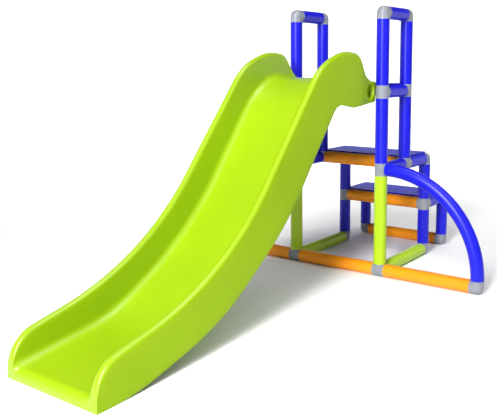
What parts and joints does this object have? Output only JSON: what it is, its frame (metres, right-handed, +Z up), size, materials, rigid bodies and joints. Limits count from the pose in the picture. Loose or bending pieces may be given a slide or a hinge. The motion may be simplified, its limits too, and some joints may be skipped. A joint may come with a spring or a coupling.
{
  "type": "wave slide",
  "caption": "Child's wave slide: a lime moulded chute hung on a stand of coloured plastic tubes with treads and side arcs.",
  "frame": {"origin": "on the floor, in the middle of the bounding box", "axes": "+Z up, -Y towards the chute's foot, X = 0 is the plane of symmetry"},
  "size_m": [1.25, 2.005, 1.05],
  "materials": {
    "blue_tubes": "glossy extruded plastic tube",
    "orange_tubes": "glossy extruded plastic tube",
    "lime_tubes": "glossy extruded plastic tube",
    "lime_chute": "glossy moulded polyethylene",
    "blue_treads": "moulded plastic with a fine grain on top",
    "grey_connectors": "satin moulded plastic",
    "steel_screws": "zinc-plated"
  },
  "bodies": {
    "stand": {"arc_foot_connectors": "grey_connectors", "base_side_tube_left": "lime_tubes", "base_side_tube_right": "lime_tubes", "base_tube_front": "orange_tubes", "base_tube_rear": "orange_tubes", "front_foot_connectors": "grey_connectors", "front_post_lower_left": "lime_tubes", "front_post_lower_right": "lime_tubes", "front_post_middle_left": "blue_tubes", "front_post_middle_right": "blue_tubes", "front_post_upper_left": "blue_tubes", "front_post_upper_right": "blue_tubes", "handrail_front_connectors": "grey_connectors", "handrail_rear_connectors": "grey_connectors", "handrail_tube_left": "blue_tubes", "handrail_tube_right": "blue_tubes", "locking_screws": "steel_screws", "middle_foot_connectors": "grey_connectors", "outrigger_tube_left": "orange_tubes", "outrigger_tube_right": "orange_tubes", "platform_front_connectors": "grey_connectors", "platform_leg_lower_left": "blue_tubes", "platform_leg_lower_right": "blue_tubes", "platform_leg_upper_left": "blue_tubes", "platform_leg_upper_right": "blue_tubes", "platform_post_connectors": "grey_connectors", "platform_rear_connectors": "grey_connectors", "platform_side_tube_front_left": "blue_tubes", "platform_side_tube_front_right": "blue_tubes", "platform_side_tube_rear_left": "blue_tubes", "platform_side_tube_rear_right": "blue_tubes", "platform_tread": "blue_treads", "platform_tube_front": "orange_tubes", "platform_tube_rear": "blue_tubes", "rear_foot_connectors": "grey_connectors", "rear_post_middle_left": "blue_tubes", "rear_post_middle_right": "blue_tubes", "rear_post_upper_left": "blue_tubes", "rear_post_upper_right": "blue_tubes", "seat_front_connectors": "grey_connectors", "seat_panel": "blue_treads", "seat_rear_connectors": "grey_connectors", "seat_side_tube_left": "blue_tubes", "seat_side_tube_right": "blue_tubes", "seat_tube_rear": "blue_tubes", "side_arc_left": "blue_tubes", "side_arc_right": "blue_tubes", "slide_axle_tube": "lime_tubes", "step_front_connectors": "grey_connectors", "step_leg_left": "blue_tubes", "step_leg_right": "blue_tubes", "step_rear_connectors": "grey_connectors", "step_side_tube_left": "blue_tubes", "step_side_tube_right": "blue_tubes", "step_tread": "blue_treads", "step_tube_front": "orange_tubes", "step_tube_rear": "blue_tubes"},
    "slide": {"chute": "lime_chute"}
  },
  "joints": [
    {"name": "slide_lift", "type": "hinge", "parent": "stand", "child": "slide", "pos_m": [0, 0.3325, 0.7275], "axis": [-1, 0, 0], "range_deg": [0, 25]}
  ]
}
